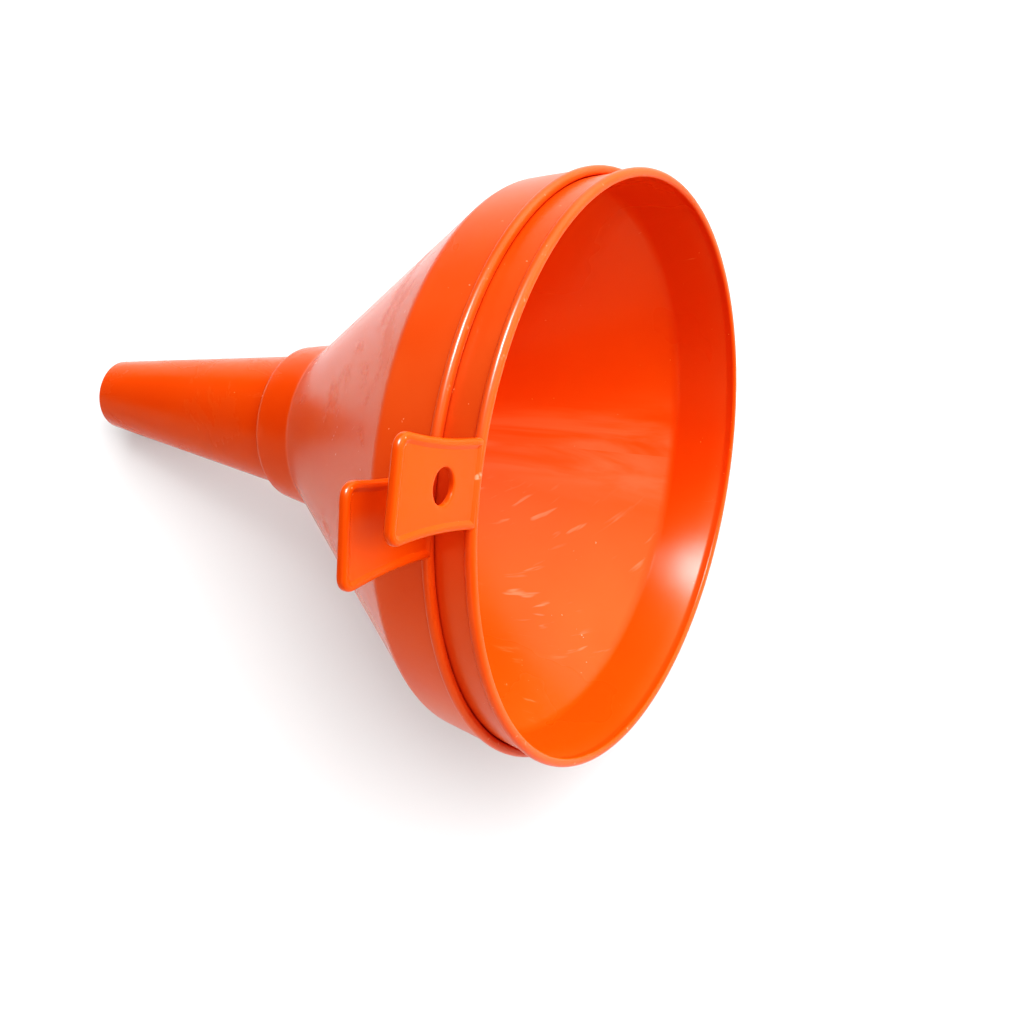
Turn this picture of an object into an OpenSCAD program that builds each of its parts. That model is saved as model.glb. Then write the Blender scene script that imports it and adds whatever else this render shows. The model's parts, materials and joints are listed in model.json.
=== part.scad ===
// Pair of nested workshop funnels lying on their side, one pushed into the other.
// Both are the same funnel: a bowl with a rolled rim and a stepped collar, a tapered
// spout seated in the collar, and a flared tab with a hole to hang it by.
// Z = 0 is the surface they lie on. The common axis leans up towards the mouth, at +X.

/* [Bowl] */
// Outside diameter over the rim bead
rim_d = 160; // [158:1:170]
// Thickness of the bead that stiffens the rim
rim_bead_d = 2.6; // [2.6:0.1:3.4]
// Wall of the bowl
bowl_wall = 1.5; // [1.2:0.1:1.8]
// Height of the steep band under the rim
skirt_h = 19; // [14:0.5:26]
// Outside diameter where the steep band meets the cone
skirt_low_d = 152; // [146:1:153]
// Height of the cone
cone_h = 64; // [55:1:75]

/* [Collar and spout] */
// Outside diameter of the collar where it leaves the cone
collar_top_d = 50; // [49:0.5:56]
// Outside diameter of the collar at its rounded end
collar_low_d = 45; // [45:0.5:46]
// Height of the collar
collar_h = 14; // [11:0.5:20]
// Rounding of the collar's outer end
collar_round = 2; // [1:0.1:2.4]
// Outside diameter of the spout where it leaves the collar
spout_top_d = 40; // [38:0.5:40]
// Outside diameter of the spout's outlet
spout_tip_d = 21.2; // [18:0.2:23]
// Length of the spout below the collar
spout_h = 72; // [60:1:85]
// Wall of the spout
spout_wall = 1.2; // [1:0.1:1.3]

/* [Hang tab] */
// Radius of the tab's outer end, from the funnel's axis
tab_reach = 112.5; // [106:0.5:122]
// Width at the tab's waist
tab_waist_w = 20.4; // [18:0.2:24]
// Distance of the waist from the axis
tab_waist_at = 86; // [84:0.5:90]
// Radius of the hollow sides
tab_side_r = 146; // [100:1:200]
// Rounding of the two outer corners
tab_corner_r = 4; // [2.5:0.1:5]
// Thickness of the tab's flat web
tab_web_t = 1.5; // [1.2:0.1:2]
// Width of the raised border
tab_border_w = 2.4; // [1.6:0.1:3]
// Diameter of the hang hole
hang_hole_d = 8.4; // [7:0.2:10.4]
// Distance of the hang hole from the axis
hang_hole_at = 93; // [89:0.5:96]

/* [Nesting] */
// Least gap between the walls of the two funnels
nest_gap = 0.3; // [0.3:0.05:0.8]
// Turn of the outer funnel's tab from straight down, towards -Y
outer_tab_turn = 147; // [135:0.1:160]
// Turn of the inner funnel's tab from straight down, towards -Y
inner_tab_turn = 153.2; // [140:0.1:170]

/* [Hidden] */
$fn = 96;
plastic = [1.0, 0.34, 0.07];
round_steps = 6;
tip_round = 0.5;
flange_h = 1.5;
skirt_inset = 1;
tab_border_t = rim_bead_d - 0.4;
tab_root = 0.7;

rim_r = rim_d / 2;
bead_r = rim_bead_d / 2;
bead_at = [rim_r - bead_r, -bead_r];
skirt_top_r = rim_r - skirt_inset;

// Corners of the outer face, as [radius, height] with the rim's top at height 0.
skirt_low = [skirt_low_d / 2, -skirt_h];
collar_top = [collar_top_d / 2, -skirt_h - cone_h];
collar_low = [collar_low_d / 2, collar_top.y - collar_h];
spout_top = [spout_top_d / 2, collar_low.y];
spout_tip = [spout_tip_d / 2, collar_low.y - spout_h];

// Growth of the radius with height along each wall.
skirt_slope = (skirt_top_r - skirt_low.x) / (skirt_h - bead_r);
cone_slope = (skirt_low.x - collar_top.x) / cone_h;
collar_slope = (collar_top.x - collar_low.x) / collar_h;
spout_slope = (spout_top.x - spout_tip.x) / spout_h;

// Radial thickness of the cone's wall, and the inner creases at its two ends.
cone_wall = bowl_wall * sqrt(1 + cone_slope * cone_slope);
skirt_crease = inner_crease(skirt_low, skirt_slope);
collar_crease = inner_crease(collar_top, collar_slope);
lip_top = collar_low.y + bowl_wall;
flange_r = collar_low.x - bowl_wall + collar_slope * bowl_wall;

// The inner funnel stands out by the least multiple of step_grid that leaves nest_gap
// between the skirts, between the collars, between the spouts and inside the outer bead.
step_grid = 0.5;
least_step = max(
    (max(bowl_wall, rim_bead_d - skirt_inset) + nest_gap) / skirt_slope,
    (bowl_wall + nest_gap) / collar_slope,
    (spout_wall + nest_gap) / spout_slope);
nest_step = ceil(least_step / step_grid) * step_grid;

// The outer funnel lies on the rounded tip of its spout, and on its skirt's lower edge or on
// its rim, whichever leans it more.
tip_edge = [spout_tip.x - tip_round, spout_tip.y + tip_round];
lean = max(lean_on(skirt_low, 0), lean_on(bead_at, bead_r));
rim_up = tip_edge.x * cos(lean) - tip_edge.y * sin(lean) + tip_round;

// Centre of the tab's corner rounding, which is tangent to the hollow side and to the end.
corner_at = tab_reach - tab_corner_r;
corner_side = tab_waist_w / 2 + tab_side_r
    - sqrt(pow(tab_side_r + tab_corner_r, 2) - pow(corner_at - tab_waist_at, 2));
corner_lean = asin((corner_at - tab_waist_at) / (tab_side_r + tab_corner_r));

// The pair's extents from the centre of the outer rim, which centre it on the origin.
reach_front = (nest_step + bead_at.y) * cos(lean) + bead_at.x * sin(lean) + bead_r;
reach_back = -tip_edge.y * cos(lean) + tip_edge.x * sin(lean) + tip_round;
reach_side = corner_at * sin(outer_tab_turn) - corner_side * cos(outer_tab_turn) + tab_corner_r;
rim_shift = [(reach_back - reach_front) / 2, (max(reach_side, rim_r) - rim_r) / 2];

// Lean of the axis when the spout's tip and a rounding of radius r about p lie on the surface.
function lean_on(p, r) =
    let (line = p - tip_edge) atan2(line.x, line.y) - asin((tip_round - r) / norm(line));

// Inner crease where the cone meets a wall of the given slope at the outer corner p.
function inner_crease(p, slope) =
    let (up = (cone_wall - bowl_wall) / (cone_slope - slope))
    [p.x - bowl_wall + slope * up, p.y + up];

// Points of an arc of radius r about c, from angle a to angle b.
function arc(c, r, a, b) =
    [for (i = [0:round_steps])
        let (t = a + (b - a) * i / round_steps) c + r * [cos(t), sin(t)]];

// One side of the tab's outline, drawn in by the inset: the hollow arc, then the corner.
function tab_edge(inset) =
    let (hollow_r = tab_side_r + inset,
         root = asin((bead_at.x - inset - tab_waist_at) / hollow_r))
    concat(
        arc([tab_waist_at, tab_waist_w / 2 + tab_side_r], hollow_r, root - 90, corner_lean - 90),
        arc([corner_at, corner_side], tab_corner_r - inset, 90 + corner_lean, 0)
    );

module tab_outline(inset) {
    edge = tab_edge(inset);
    last = len(edge) - 1;
    polygon(concat(edge, [for (i = [last:-1:0]) [edge[i].x, -edge[i].y]]));
}

// Puts a funnel drawn about the Z axis, rim at height 0, into its lying place.
module lay(step, turn) {
    translate([rim_shift.x, rim_shift.y, rim_up])
        rotate([0, 90 - lean, 0])
            translate([0, 0, step])
                rotate([0, 0, -turn])
                    children();
}

module bead() {
    rotate_extrude()
        translate(bead_at)
            circle(d = rim_bead_d);
}

module bowl() {
    bead();
    rotate_extrude()
        polygon(concat(
            [[skirt_top_r, bead_at.y], skirt_low, collar_top],
            arc(collar_low + [-collar_round, collar_round], collar_round, 0, -90),
            [spout_top, [spout_top.x, lip_top], [flange_r, lip_top], collar_crease, skirt_crease,
             [skirt_top_r - bowl_wall, bead_at.y]]
        ));
}

module spout() {
    seat = [spout_top.x, lip_top];
    rotate_extrude()
        polygon(concat(
            [[flange_r, lip_top], seat, spout_top],
            arc(tip_edge, tip_round, 0, -90),
            [[spout_tip.x - spout_wall, spout_tip.y],
             [spout_top.x - spout_wall, spout_top.y],
             [spout_top.x - spout_wall + spout_slope * (bowl_wall + flange_h), lip_top + flange_h],
             [flange_r + collar_slope * flange_h, lip_top + flange_h]]
        ));
}

module hang_tab() {
    difference() {
        translate([0, 0, bead_at.y]) {
            linear_extrude(tab_web_t, center = true)
                tab_outline(tab_border_w / 2);
            linear_extrude(tab_border_t, center = true)
                difference() {
                    tab_outline(0);
                    tab_outline(tab_border_w);
                }
        }
        // The tab's root is let into the rim bead.
        translate([0, 0, -rim_bead_d])
            cylinder(r = rim_r - tab_root, h = 2 * rim_bead_d);
        translate([hang_hole_at, 0, -rim_bead_d])
            cylinder(d = hang_hole_d, h = rim_bead_d);
    }
}

module outer_bowl() { color(plastic) lay(0, outer_tab_turn) bowl(); }
module outer_spout() { color(plastic) lay(0, outer_tab_turn) spout(); }
module outer_hang_tab() { color(plastic) lay(0, outer_tab_turn) hang_tab(); }
module inner_bowl() { color(plastic) lay(nest_step, inner_tab_turn) bowl(); }
module inner_spout() { color(plastic) lay(nest_step, inner_tab_turn) spout(); }
module inner_hang_tab() { color(plastic) lay(nest_step, inner_tab_turn) hang_tab(); }

outer_bowl();
outer_spout();
outer_hang_tab();
inner_bowl();
inner_spout();
inner_hang_tab();
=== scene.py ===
"""Looks of two nested workshop funnels that lie on their side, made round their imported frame."""

import json
import math

import bmesh
import bpy
from bpy.props import FloatProperty, FloatVectorProperty, IntProperty, PointerProperty
from mathutils import Matrix, Vector


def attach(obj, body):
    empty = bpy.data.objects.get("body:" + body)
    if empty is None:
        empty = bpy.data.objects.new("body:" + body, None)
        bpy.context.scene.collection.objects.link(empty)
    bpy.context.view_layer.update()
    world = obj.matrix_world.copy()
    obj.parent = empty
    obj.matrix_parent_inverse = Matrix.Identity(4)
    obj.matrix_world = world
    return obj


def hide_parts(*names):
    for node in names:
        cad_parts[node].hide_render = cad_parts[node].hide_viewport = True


bl_info = {
    "name": "Nested Funnels",
    "version": (1, 0, 0),
    "blender": (4, 5, 0),
    "location": "View3D > Sidebar > Funnels",
    "description": "Moulded plastic funnels with hang tabs, one nested in the other",
    "category": "Add Mesh",
}

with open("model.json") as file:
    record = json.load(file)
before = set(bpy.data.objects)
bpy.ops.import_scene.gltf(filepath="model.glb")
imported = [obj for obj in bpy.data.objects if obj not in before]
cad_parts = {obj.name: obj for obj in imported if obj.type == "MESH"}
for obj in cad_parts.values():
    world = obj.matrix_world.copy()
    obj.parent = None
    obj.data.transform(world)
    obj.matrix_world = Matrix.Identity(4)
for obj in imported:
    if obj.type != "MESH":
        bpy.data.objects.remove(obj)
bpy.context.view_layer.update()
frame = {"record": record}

MM = 0.001
FUNNELS = ("outer", "inner")

# Lengths closer than SAME are equal, and faces that meet at more than SHARP shade apart.
SAME = 1e-6
SHARP = math.radians(20)
ROUND_STEPS = 8


# ---------------------------------------------------------------- places

def mount(name):
    """The record's mount of that name."""
    return next(m for m in frame["record"]["mounts"] if m["name"] == name)


def lie(funnel):
    """Places a funnel drawn with its rim at Z = 0, its spout down and its tab along X."""
    axis = -Vector(mount("spout_outlet")["axis"]).normalized()
    outlet = Vector(mount("spout_outlet")["pos_m"])
    hole = Vector(mount(f"{funnel}_hang_hole")["pos_m"])
    foot = outlet + axis * axis.dot(hole - outlet)
    along_tab = (hole - foot).normalized()
    turn = Matrix((along_tab, axis.cross(along_tab), axis)).transposed()
    rim = foot + axis * bpy.context.scene.funnel_sizes.bead / 2
    return Matrix.Translation(rim) @ turn.to_4x4()


# ---------------------------------------------------------------- settings

def length(name, description, millimetres):
    return FloatProperty(
        name=name, description=description, default=millimetres * MM,
        min=0, precision=5, subtype="DISTANCE", unit="LENGTH")


class FunnelSizes(bpy.types.PropertyGroup):
    """Sizes of one funnel. Heights are measured down from the rim."""
    rim: length("Rim radius", "Outside radius over the rim bead", 80)
    bead: length("Rim bead", "Height of the bead round the rim", 2.6)
    wall: length("Bowl wall", "Wall of the bowl", 1.5)
    skirt_inset: length("Skirt inset", "Step from the bead's face to the steep band", 0.9)
    skirt_height: length("Skirt height", "Height of the steep band under the rim", 19)
    skirt_low: length("Skirt radius", "Radius where the steep band meets the cone", 76)
    cone_height: length("Cone height", "Height of the cone", 64)
    collar_top: length("Collar top", "Radius of the collar at the cone", 25)
    collar_low: length("Collar end", "Radius of the collar at its rounded end", 22.5)
    collar_height: length("Collar height", "Height of the collar", 14)
    spout_top: length("Spout top", "Radius of the spout at the collar", 20)
    spout_tip: length("Spout tip", "Radius of the spout's outlet", 10.6)
    spout_height: length("Spout height", "Length of the spout below the collar", 72)
    spout_wall: length("Spout wall", "Wall of the spout", 1.2)
    groove: length("Groove", "Gap round the spout at the collar's end", 0.4)
    flange: length("Flange", "Height of the flange that seats the spout", 1.5)
    tab_root: length("Tab root", "How far the tab runs in under the rim", 2.1)
    tab_reach: length("Tab reach", "Radius of the tab's outer end", 112.5)
    tab_waist: length("Tab waist", "Half the width of the tab at its waist", 10.2)
    tab_waist_at: length("Waist place", "Distance of the waist from the axis", 86)
    tab_side: length("Side hollow", "Radius of the tab's hollow sides", 146)
    tab_corner: length("Tab corner", "Rounding of the tab's outer corners", 4.4)
    tab_border: length("Tab border", "Width of the tab's raised border", 2.3)
    tab_edge: length("Tab edge", "Thickness of the tab at its border", 2.4)
    tab_web: length("Tab web", "Thickness of the tab between its borders", 1.5)
    hole: length("Hang hole", "Radius of the hang hole", 4.2)
    hole_at: length("Hole place", "Distance of the hang hole from the axis", 93)
    steps: IntProperty(
        name="Steps", description="Faces round each turned surface", default=192, min=24, max=360)


class FunnelFinish(bpy.types.PropertyGroup):
    """Colour and surface of the moulded plastic."""
    colour: FloatVectorProperty(
        name="Colour", description="Colour of clean plastic", subtype="COLOR", size=3,
        default=(0.60, 0.058, 0.0010), min=0, max=1)
    deep: FloatVectorProperty(
        name="Deep colour", description="Colour where the pigment is denser", subtype="COLOR",
        size=3, default=(0.58, 0.051, 0.0008), min=0, max=1)
    # Pale colour of scuffs and nicks, also used for the painted sheen of the film.
    scuff_and_sheen_colour: FloatVectorProperty(
        name="Scuffed colour", description="Colour of scuffs and nicks", subtype="COLOR",
        size=3, default=(1.0, 0.52, 0.36), min=0, max=1)
    roughness: FloatProperty(
        name="Roughness", description="Roughness of clean plastic", subtype="FACTOR",
        default=0.28, min=0, max=1)
    specular: FloatProperty(
        name="Specular level", description="Strength of the surface's reflections",
        subtype="FACTOR", default=0.24, min=0, max=1)


class FunnelStage(bpy.types.PropertyGroup):
    """Camera and light."""
    azimuth: FloatProperty(
        name="Azimuth", description="Turn of the camera from looking along +Y", subtype="ANGLE",
        unit="ROTATION", default=math.radians(18.34))
    elevation: FloatProperty(
        name="Elevation", description="Height of the camera above the horizon", subtype="ANGLE",
        unit="ROTATION", default=math.radians(72.45))
    distance: FloatProperty(
        name="Distance", description="From the camera to the point it looks at", unit="LENGTH",
        subtype="DISTANCE", default=0.4074, min=0.1)
    aim: FloatVectorProperty(
        name="Aim", description="Point looked at, from the centre of the outer rim",
        unit="LENGTH", subtype="TRANSLATION", size=3, precision=4,
        default=(-0.0160, -0.0175, -0.0036))
    lens: FloatProperty(
        name="Lens", description="Focal length for a 36 mm sensor", subtype="DISTANCE_CAMERA",
        default=52.8, min=10)
    sky: FloatProperty(
        name="Sky", description="Radiance of the bright side of the light tent", default=5.6, min=0)
    dusk: FloatProperty(
        name="Dusk", description="Radiance of the dark side of the light tent", default=0.1, min=0)
    sky_azimuth: FloatProperty(
        name="Sky azimuth", description="Where the bright side is", subtype="ANGLE",
        unit="ROTATION", default=math.radians(145))
    sky_elevation: FloatProperty(
        name="Sky elevation", description="Height of the bright side", subtype="ANGLE",
        unit="ROTATION", default=math.radians(45))
    sky_reach: FloatProperty(
        name="Sky reach", description="Cosine of the angle from the bright side where it starts",
        default=0.35, min=-1, max=1)
    sky_core: FloatProperty(
        name="Sky core", description="Cosine of the angle inside which it is at its brightest",
        default=0.9, min=-1, max=1)
    floor_shade: FloatProperty(
        name="Floor shade", description="How much light the floor throws back", subtype="FACTOR",
        default=0.45, min=0, max=1)
    floor_glow: FloatProperty(
        name="Floor glow", description="Radiance of the light table under the floor",
        default=0.3, min=0)
    lamp_distance: FloatProperty(
        name="Lamp distance", description="From the origin to each lamp", subtype="DISTANCE",
        unit="LENGTH", default=1.3, min=0.3)
    fill_power: FloatProperty(
        name="Fill power", description="Power of the broad lamp on the spouts' side",
        subtype="POWER", default=5, min=0)
    fill_size: FloatProperty(
        name="Fill size", description="Diameter of the fill lamp", subtype="DISTANCE",
        unit="LENGTH", default=0.8, min=0.01)
    fill_azimuth: FloatProperty(
        name="Fill azimuth", description="Turn of the fill lamp from -Y towards +X",
        subtype="ANGLE", unit="ROTATION", default=math.radians(-5))
    fill_elevation: FloatProperty(
        name="Fill elevation", description="Height of the fill lamp above the horizon",
        subtype="ANGLE", unit="ROTATION", default=math.radians(25))
    glint_power: FloatProperty(
        name="Glint power", description="Power of the small lamp that only draws highlights",
        subtype="POWER", default=170, min=0)
    glint_size: FloatProperty(
        name="Glint size", description="Diameter of the glint lamp", subtype="DISTANCE",
        unit="LENGTH", default=0.34, min=0.01)
    glint_azimuth: FloatProperty(
        name="Glint azimuth", description="Turn of the glint lamp from -Y towards +X",
        subtype="ANGLE", unit="ROTATION", default=math.radians(-127))
    glint_elevation: FloatProperty(
        name="Glint elevation", description="Height of the glint lamp above the horizon",
        subtype="ANGLE", unit="ROTATION", default=math.radians(66))


# ---------------------------------------------------------------- material

class Socket:
    """An output of a node, on which sums are written as plain expressions."""

    def __init__(self, nodes, link):
        self.nodes, self.link = nodes, link

    def _math(self, operation, a, b=0.0):
        return self.nodes.add("ShaderNodeMath", {"operation": operation}, {0: a, 1: b})

    def __add__(self, other):
        return self._math("ADD", self, other)

    def __sub__(self, other):
        return self._math("SUBTRACT", self, other)

    def __rsub__(self, other):
        return self._math("SUBTRACT", other, self)

    def __mul__(self, other):
        return self._math("MULTIPLY", self, other)

    def __truediv__(self, other):
        return self._math("DIVIDE", self, other)

    def __pow__(self, other):
        return self._math("POWER", self, other)

    def __abs__(self):
        return self._math("ABSOLUTE", self)

    __radd__, __rmul__ = __add__, __mul__

    def turn(self, other):
        """Angle of the point whose sine part is this one and whose cosine part is the other."""
        return self._math("ARCTAN2", self, other)

    def largest(self, other):
        return self._math("MAXIMUM", self, other)

    def ramp(self, low, high, bottom=0.0, top=1.0):
        """bottom before low, top past high and smooth in between; high may be the lower one."""
        return self.nodes.add(
            "ShaderNodeMapRange", {"interpolation_type": "SMOOTHSTEP"},
            {"Value": self, "From Min": low, "From Max": high, "To Min": bottom, "To Max": top})


class Nodes:
    """The nodes of a material or of the world."""

    def __init__(self, tree):
        self.tree = tree

    def add(self, kind, settings=None, inputs=None, output=0):
        """Adds a node: its settings first, then the values or links of its sockets."""
        node = self.tree.nodes.new(kind)
        for key, value in (settings or {}).items():
            setattr(node, key, value)
        for key, value in (inputs or {}).items():
            self.put(node.inputs[key], value)
        return Socket(self, node.outputs[output])

    def put(self, target, value):
        if isinstance(value, Socket):
            self.tree.links.new(value.link, target)
        else:
            target.default_value = value


class Shader(Nodes):
    """A material and the patterns that it is made of."""

    def __init__(self, name):
        self.material = bpy.data.materials.new(name)
        self.material.use_nodes = True
        super().__init__(self.material.node_tree)
        self.surface = self.tree.nodes["Principled BSDF"]

    def mix(self, factor, a, b):
        return self.add(
            "ShaderNodeMix", {"data_type": "RGBA"}, {"Factor": factor, "A": a, "B": b}, "Result")

    def noise(self, vector, scale, detail=3.0, roughness=0.5, distortion=0.0):
        return self.add(
            "ShaderNodeTexNoise", {},
            {"Vector": vector, "Scale": scale, "Detail": detail, "Roughness": roughness,
             "Distortion": distortion})

    def vector(self, x, y, z):
        return self.add("ShaderNodeCombineXYZ", {}, {"X": x, "Y": y, "Z": z})

    def finish(self, **values):
        for key, value in values.items():
            self.put(self.surface.inputs[key.replace("_", " ")], value)
        return self.material


def rgba(colour):
    return (*colour, 1.0)


def moulded_plastic(funnel):
    """Glossy polyethylene with flow marks, smudges, scuffs and nicks on its edges."""
    name = f"{funnel}_plastic"
    if name in bpy.data.materials:
        return bpy.data.materials[name]
    look = bpy.context.scene.funnel_finish
    sizes = bpy.context.scene.funnel_sizes
    place = lie(funnel)
    s = Shader(name)

    here = s.add("ShaderNodeTexCoord", output="Object")
    own = s.add("ShaderNodeMapping", {"vector_type": "TEXTURE"},
                {"Vector": here, "Location": place.translation, "Rotation": place.to_euler()})
    x, y, height = (s.add("ShaderNodeSeparateXYZ", {}, {"Vector": own}, axis) for axis in "XYZ")
    radius = (x * x + y * y) ** 0.5
    around = y.turn(x)

    # How deep a place lies under the outer faces of the cone and of the steep band. What
    # stands out of the cone's line, as the collar and the spout do, counts as on the cone.
    cone_slope = (sizes.skirt_low - sizes.collar_top) / sizes.cone_height
    skirt_slope = (sizes.rim - sizes.wall - sizes.skirt_low) / sizes.skirt_height
    from_crease = height + sizes.skirt_height
    under_cone = from_crease * cone_slope + sizes.skirt_low - radius
    under_skirt = from_crease * skirt_slope + sizes.skirt_low - radius
    in_cone = under_cone.ramp(0.9 * MM, 1.3 * MM) * from_crease.ramp(1.5 * MM, -1.0 * MM)
    on_cone = under_cone.ramp(0.9 * MM, 0.5 * MM) * from_crease.ramp(0, -1.0 * MM)
    on_skirt = under_skirt.ramp(0.9 * MM, 0.5 * MM)
    from_back = math.pi - abs(around)

    # Broad clouds, smudges, flow marks of the moulding and fine rubbed streaks.
    cloud = s.noise(own, 14.0, 4.0)
    smudge = s.noise(own, 42.0, 5.0, 0.62, 0.6).ramp(0.50, 0.62)
    flow = s.noise(s.vector(around * 9.0, height * 4.0, 0.3), 1.0, 6.0, 0.7)
    streak = s.noise(s.vector(around * 14.0, height * 55.0, 1.7), 1.0, 7.0, 0.78, 1.2)
    scuff = streak.ramp(0.64, 0.78) * s.noise(own, 30.0, 2.0).ramp(0.52, 0.66)

    # Curved scratches on the cone's lower inside, pale specks and nicks along the rim.
    arcs = s.noise(s.vector(around * 4.0 + height * 50.0, height * 420.0 - around * 16.0, 4.1),
                   1.0, 2.0, 0.5, 0.3)
    lower = (y / radius).ramp(0.1, 0.5)
    scratch = in_cone * lower * arcs.ramp(0.60, 0.72) * s.noise(own, 36.0, 2.0).ramp(0.46, 0.62)
    speck = s.noise(own, 900.0, 1.0).ramp(0.77, 0.80) * s.noise(own, 60.0, 2.0).ramp(0.5, 0.6)
    edge = (height.ramp(-0.9 * MM, -0.1 * MM) * radius.ramp(sizes.rim + MM, sizes.rim)
            * s.noise(own, 260.0, 3.0).ramp(0.66, 0.74))

    # A pale film, partly dust and partly painted sheen. The band along the cone's inside at the back
    # and the veil on its lower side, where the light falls inside, are painted sheen; on the steep
    # band it is a thin dull film.
    wipe_and_sheen = s.noise(s.vector(around * 7.0, height * 22.0, 2.2), 1.0, 4.0, 0.55, 0.8).ramp(0.3, 0.7)
    film_and_sheen = (in_cone * (from_back.ramp(0.36, 0.04) * wipe_and_sheen * 0.10 + lower * cloud.ramp(0.3, 0.7) * 0.02)
            + on_skirt * radius.ramp(sizes.rim + MM, sizes.rim) * cloud.ramp(0.3, 0.65) * 0.03)

    base = s.mix(cloud.ramp(0.35, 0.7), rgba(look.deep), rgba(look.colour))
    # Pale wear mixed into the colour, together with the film's painted sheen.
    wear_and_sheen = film_and_sheen + scuff * 0.25 + scratch * 0.13 + speck * 0.35 + edge * 0.3
    colour = s.mix(wear_and_sheen, base, rgba(look.scuff_and_sheen_colour))
    rough = (look.roughness + on_cone * (smudge * 0.10 - 0.08) + scuff * 0.18 + edge * 0.2
             + film_and_sheen * 0.8 + (cloud - 0.5) * 0.08)

    peel = s.noise(own, 700.0, 2.0) * 0.05 + s.noise(own, 90.0, 2.0) * 0.25
    height_map = peel + flow * 0.10 + scuff * 0.10
    normal = s.add("ShaderNodeBump", {}, {
        "Strength": 0.35, "Distance": 0.35 * MM, "Height": height_map})
    return s.finish(
        Base_Color=colour, Roughness=rough, Normal=normal, IOR=1.3,
        Specular_IOR_Level=look.specular)


# ---------------------------------------------------------------- meshes

def outline(corners):
    """A closed wire through the corners, each given as its place and its rounding."""
    bm = bmesh.new()
    verts = [bm.verts.new(place) for place, _ in corners]
    bm.faces.new(verts)
    for vert, (_, rounding) in zip(verts, corners):
        if rounding:
            bmesh.ops.bevel(
                bm, geom=[vert], offset=rounding, offset_type="OFFSET", affect="VERTICES",
                segments=ROUND_STEPS, profile=0.5, material=-1)
    bmesh.ops.delete(bm, geom=bm.faces[:], context="FACES_ONLY")
    return bm


def turned(corners, longest=4 * MM):
    """Turns a closed outline round Z. Each corner is (radius, height, rounding)."""
    bm = outline([((radius, 0, height), rounding) for radius, height, rounding in corners])
    for edge in bm.edges[:]:
        cuts = math.ceil(edge.calc_length() / longest) - 1
        if cuts:
            bmesh.ops.subdivide_edges(bm, edges=[edge], cuts=cuts)
    bmesh.ops.spin(
        bm, geom=bm.verts[:] + bm.edges[:], cent=(0, 0, 0), axis=(0, 0, 1), angle=math.tau,
        steps=bpy.context.scene.funnel_sizes.steps, use_merge=True)
    bmesh.ops.remove_doubles(bm, verts=bm.verts, dist=1e-7)
    bmesh.ops.recalc_face_normals(bm, faces=bm.faces)
    return bm


def piece(funnel, part, bm):
    """Lays the mesh in its place, hides the frame node that it stands in for, and gives it its body,
    material slot and material.
    """
    name = f"{funnel}_{part}_moulding"
    bm.transform(lie(funnel))
    for face in bm.faces:
        face.smooth = True
    for edge in bm.edges:
        edge.smooth = edge.calc_face_angle(0) < SHARP
    mesh = bpy.data.meshes.new(name)
    bm.to_mesh(mesh)
    bm.free()
    made = bpy.data.objects.new(name, mesh)
    bpy.context.scene.collection.objects.link(made)
    mesh.materials.append(moulded_plastic(funnel))
    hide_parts(f"{funnel}_{part}")
    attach(made, f"{funnel}_funnel")


class FUNNEL_OT_bowls(bpy.types.Operator):
    """Turn both bowls: rim bead, steep band, cone and stepped collar"""
    bl_idname = "funnel.bowls"
    bl_label = "Bowls"

    def execute(self, context):
        s = context.scene.funnel_sizes
        skirt, cone = -s.skirt_height, -s.skirt_height - s.cone_height
        end = cone - s.collar_height
        slope = (s.skirt_low - s.collar_top) / s.cone_height
        cone_wall = s.wall * math.hypot(1, slope)
        rise = (cone_wall - s.wall) / slope
        band_top = s.rim - s.skirt_inset
        hole = s.spout_top + s.groove
        collar_slope = (s.collar_top - s.collar_low) / s.collar_height
        seat = end + s.wall
        for funnel in FUNNELS:
            bm = turned([
                (s.rim - s.bead, 0, 0.9 * MM),
                (s.rim, 0, 1.25 * MM),
                (s.rim, -s.bead, 1.1 * MM),
                (band_top, -s.bead, 0.3 * MM),
                (s.skirt_low, skirt, 1.0 * MM),
                (s.collar_top, cone, 0.9 * MM),
                (s.collar_low, end, 2.2 * MM),
                (hole, end, 0.5 * MM),
                (hole, seat, 0),
                (s.collar_low - s.wall + collar_slope * s.wall, seat, 0.4 * MM),
                (s.collar_top - s.wall, cone + rise, 1.2 * MM),
                (s.skirt_low - s.wall, skirt + rise, 1.6 * MM),
                (band_top - s.wall, -s.bead, 0.4 * MM),
            ])
            piece(funnel, "bowl", bm)
        return {"FINISHED"}


class FUNNEL_OT_spouts(bpy.types.Operator):
    """Turn both tapered spouts with the flange that seats them in the collar"""
    bl_idname = "funnel.spouts"
    bl_label = "Spouts"

    def execute(self, context):
        s = context.scene.funnel_sizes
        end = -s.skirt_height - s.cone_height - s.collar_height
        tip = end - s.spout_height
        seat = end + s.wall
        top = seat + s.flange
        slope = (s.spout_top - s.spout_tip) / s.spout_height
        collar_slope = (s.collar_top - s.collar_low) / s.collar_height
        flange_r = s.collar_low - s.wall + collar_slope * s.wall
        for funnel in FUNNELS:
            bm = turned([
                (flange_r, seat, 0),
                (s.spout_top, seat, 0),
                (s.spout_top, end, 0.5 * MM),
                (s.spout_tip, tip, 0.55 * MM),
                (s.spout_tip - s.spout_wall, tip, 0.45 * MM),
                (s.spout_top - s.spout_wall, end, 0),
                (s.spout_top - s.spout_wall + slope * (top - end), top, 0.6 * MM),
                (flange_r, top, 0.4 * MM),
            ])
            piece(funnel, "spout", bm)
        return {"FINISHED"}


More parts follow.
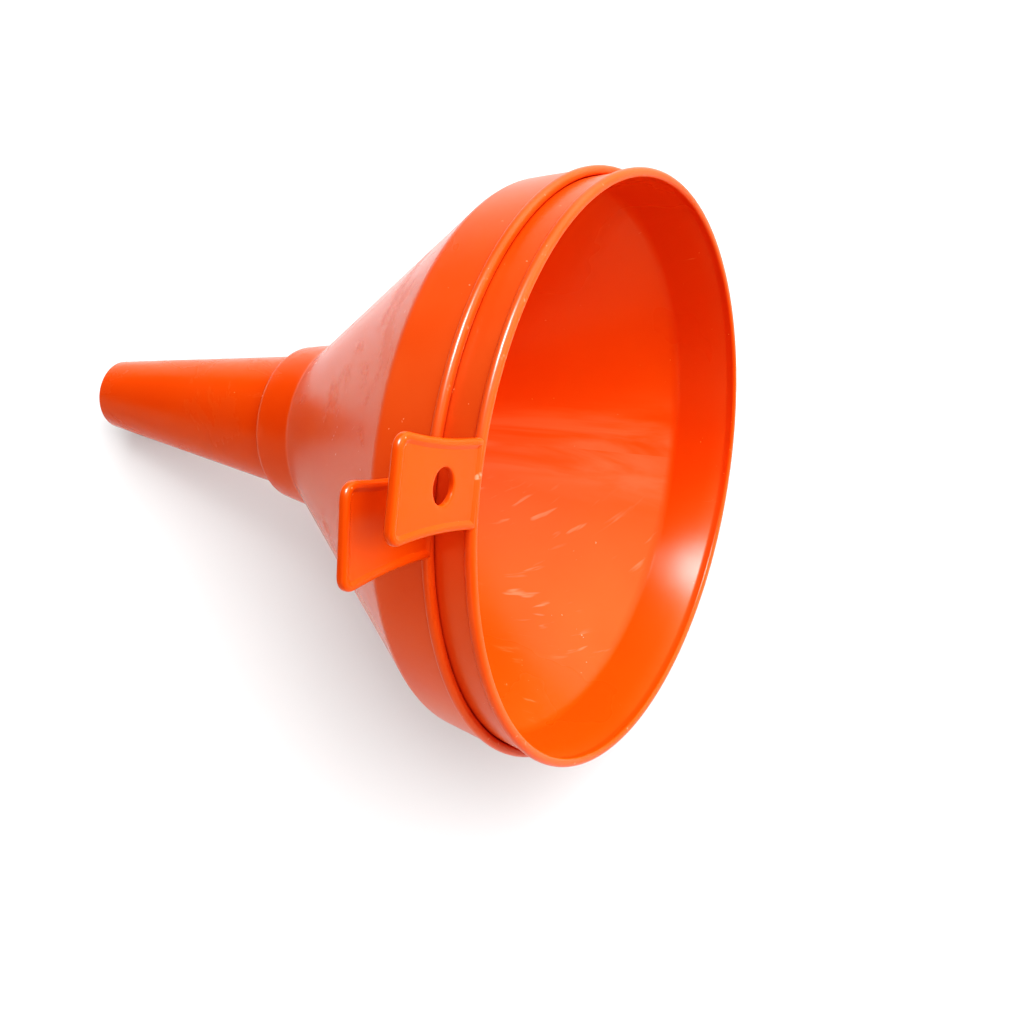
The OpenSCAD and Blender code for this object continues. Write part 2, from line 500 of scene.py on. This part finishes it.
class FUNNEL_OT_hang_tabs(bpy.types.Operator):
    """Make both flared tabs: hollow sides, raised border, flat web and hang hole"""
    bl_idname = "funnel.hang_tabs"
    bl_label = "Hang tabs"

    def execute(self, context):
        s = context.scene.funnel_sizes
        for funnel in FUNNELS:
            bm = self.blank(s)
            self.raise_border(bm, s)
            self.cut_hole(bm, s)
            bmesh.ops.recalc_face_normals(bm, faces=bm.faces)
            piece(funnel, "hang_tab", bm)
        return {"FINISHED"}

    @staticmethod
    def blank(s):
        """A plate: a rectangle with two round corners, its long sides drawn in to their hollow."""
        root, foot = s.rim - s.tab_root, -s.bead / 2 - s.tab_edge / 2

        def half_width(at):
            return s.tab_waist + s.tab_side - math.sqrt(s.tab_side ** 2 - (at - s.tab_waist_at) ** 2)

        wide = half_width(s.tab_reach)
        bm = outline([((at, side * wide, foot), rounding) for at, side, rounding in (
            (root, -1, 0), (s.tab_reach, -1, s.tab_corner),
            (s.tab_reach, 1, s.tab_corner), (root, 1, 0))])
        sides = [e for e in bm.edges if abs(e.verts[0].co.y - e.verts[1].co.y) < SAME]
        bmesh.ops.subdivide_edges(bm, edges=sides, cuts=14)
        for vert in bm.verts:
            vert.co.y *= half_width(vert.co.x) / wide
        bmesh.ops.contextual_create(bm, geom=bm.edges[:])
        grown = bmesh.ops.extrude_face_region(bm, geom=bm.faces[:], use_keep_orig=True)
        bmesh.ops.translate(bm, vec=(0, 0, s.tab_edge),
                            verts=[g for g in grown["geom"] if isinstance(g, bmesh.types.BMVert)])
        bmesh.ops.recalc_face_normals(bm, faces=bm.faces)
        return bm

    @staticmethod
    def raise_border(bm, s):
        """Sinks the web on both sides behind a sloping border, and rounds the plate's edges."""
        webs = [f for f in bm.faces if abs(f.normal.z) > 0.9]
        for share in (0.6, 0.4):
            bmesh.ops.inset_individual(
                bm, faces=webs, thickness=share * s.tab_border, use_even_offset=True)
        for web in webs:
            sink = (s.tab_web / 2 - s.tab_edge / 2) * math.copysign(1, web.normal.z)
            bmesh.ops.translate(bm, vec=(0, 0, sink), verts=web.verts[:])
        bounds = {e for web in webs for e in web.edges}
        crests = [e for e in bm.edges if e not in bounds and e.calc_face_angle(0) > 0.6
                  and abs(e.verts[0].co.z - e.verts[1].co.z) < SAME]
        bmesh.ops.bevel(bm, geom=crests, offset=0.9 * MM, offset_type="OFFSET", affect="EDGES",
                        segments=5, profile=0.5, material=-1)

    @staticmethod
    def cut_hole(bm, s):
        """Cuts the hang hole through both webs, inside a ring of even faces."""

        def circle(radius, level):
            verts = bmesh.ops.create_circle(
                bm, segments=48, radius=radius,
                matrix=Matrix.Translation((s.hole_at, 0, level)))["verts"]
            return list({edge for vert in verts for edge in vert.link_edges})

        rims = []
        for side in (-1, 1):
            level = -s.bead / 2 + side * s.tab_web / 2
            web = max((f for f in bm.faces if abs(f.calc_center_median().z - level) < SAME),
                      key=lambda f: f.calc_area())
            border = web.edges[:]
            ring, rim = circle(s.hole + MM, level), circle(s.hole, level)
            bmesh.ops.delete(bm, geom=[web], context="FACES_ONLY")
            bmesh.ops.triangle_fill(bm, edges=border + ring, use_beauty=True)
            bmesh.ops.bridge_loops(bm, edges=ring + rim)
            rims += rim
        bmesh.ops.bridge_loops(bm, edges=rims)
        bmesh.ops.bevel(bm, geom=rims, offset=0.4 * MM, offset_type="OFFSET", affect="EDGES",
                        segments=3, profile=0.5, material=-1)


# ---------------------------------------------------------------- stage

def direction(azimuth, elevation):
    """Unit vector from the object towards a place; azimuth 0 is -Y and a quarter turn is +X."""
    level = math.cos(elevation)
    return Vector((math.sin(azimuth) * level, -math.cos(azimuth) * level, math.sin(elevation)))


class FUNNEL_OT_stage(bpy.types.Operator):
    """Set out the pale floor, the soft light and the camera"""
    bl_idname = "funnel.stage"
    bl_label = "Stage"

    def execute(self, context):
        scene, stage = context.scene, context.scene.funnel_stage
        self.tone(scene.view_settings)
        self.floor(scene, stage)
        self.light(scene, stage)
        self.camera(scene, stage)
        return {"FINISHED"}

    @staticmethod
    def tone(view):
        """Standard colours, with the dark end of each channel pressed down as a camera does."""
        view.view_transform = "Standard"
        view.use_curve_mapping = True
        for scene_value, shown_value in ((0.03, 0.012), (0.1, 0.075), (0.3, 0.3)):
            view.curve_mapping.curves[3].points.new(scene_value, shown_value)
        view.curve_mapping.update()

    @staticmethod
    def floor(scene, stage):
        bm = bmesh.new()
        bmesh.ops.create_grid(bm, x_segments=1, y_segments=1, size=4)
        mesh = bpy.data.meshes.new("floor")
        bm.to_mesh(mesh)
        bm.free()
        floor = bpy.data.objects.new("floor", mesh)
        scene.collection.objects.link(floor)
        shade = (stage.floor_shade,) * 3
        mesh.materials.append(Shader("floor_paint").finish(
            Base_Color=rgba(shade), Roughness=0.8, Specular_IOR_Level=0.1,
            Emission_Color=rgba((1, 1, 1)), Emission_Strength=stage.floor_glow))

    @staticmethod
    def light(scene, stage):
        world = bpy.data.worlds.new("studio")
        world.use_nodes = True
        sky = Nodes(world.node_tree)
        look = sky.add("ShaderNodeTexCoord", output="Generated")
        towards = direction(stage.sky_azimuth, stage.sky_elevation)
        facing = sky.add(
            "ShaderNodeVectorMath", {"operation": "DOT_PRODUCT"}, {0: look, 1: towards}, "Value")
        glow = facing.ramp(stage.sky_reach, stage.sky_core, stage.dusk, stage.sky)

        # Past the floor's edge the camera sees plain white in place of the tent's dark side.
        seen = sky.add("ShaderNodeLightPath", output="Is Camera Ray")
        background = world.node_tree.nodes["Background"]
        sky.put(background.inputs["Color"], rgba((1, 1, 1)))
        sky.put(background.inputs["Strength"], glow.largest(seen))
        scene.world = world

        # The fill lights everything, and the glint only draws highlights.
        for name in ("fill", "glint"):
            power, size, azimuth, elevation = (
                getattr(stage, f"{name}_{key}") for key in ("power", "size", "azimuth", "elevation"))
            data = bpy.data.lights.new(name, "AREA")
            data.shape, data.size, data.energy = "DISK", size, power
            lamp = bpy.data.objects.new(name, data)
            towards = direction(azimuth, elevation)
            lamp.location = towards * stage.lamp_distance
            lamp.rotation_euler = towards.to_track_quat("Z", "Y").to_euler()
            lamp.visible_diffuse = name == "fill"
            scene.collection.objects.link(lamp)

    @staticmethod
    def camera(scene, stage):
        aim = lie("outer").translation + Vector(stage.aim)
        back = direction(stage.azimuth, stage.elevation)
        data = bpy.data.cameras.new("camera")
        data.lens, data.sensor_width, data.clip_start = stage.lens, 36, 0.01
        camera = bpy.data.objects.new("camera", data)
        camera.location = aim + back * stage.distance
        camera.rotation_euler = back.to_track_quat("Z", "Y").to_euler()
        scene.collection.objects.link(camera)
        scene.camera = camera


# ---------------------------------------------------------------- add-on

class FUNNEL_PT_panel(bpy.types.Panel):
    """Sizes, finish and stage of the funnels, and the operators that make them"""
    bl_idname = "FUNNEL_PT_panel"
    bl_label = "Nested Funnels"
    bl_space_type = "VIEW_3D"
    bl_region_type = "UI"
    bl_category = "Funnels"

    def draw(self, context):
        for operator in MAKERS:
            self.layout.operator(operator.bl_idname)
        for name, group in GROUPS.items():
            box = self.layout.box()
            for key in group.__annotations__:
                box.prop(getattr(context.scene, name), key)


MAKERS = (FUNNEL_OT_bowls, FUNNEL_OT_spouts, FUNNEL_OT_hang_tabs, FUNNEL_OT_stage)
GROUPS = {"funnel_sizes": FunnelSizes, "funnel_finish": FunnelFinish, "funnel_stage": FunnelStage}


def register():
    for cls in (*GROUPS.values(), *MAKERS, FUNNEL_PT_panel):
        bpy.utils.register_class(cls)
    for name, group in GROUPS.items():
        setattr(bpy.types.Scene, name, PointerProperty(type=group))


def unregister():
    for name in GROUPS:
        delattr(bpy.types.Scene, name)
    for cls in reversed((*GROUPS.values(), *MAKERS, FUNNEL_PT_panel)):
        bpy.utils.unregister_class(cls)


def main():
    register()
    bpy.ops.funnel.bowls()
    bpy.ops.funnel.spouts()
    bpy.ops.funnel.hang_tabs()
    bpy.ops.funnel.stage()


if __name__ == "__main__":
    main()
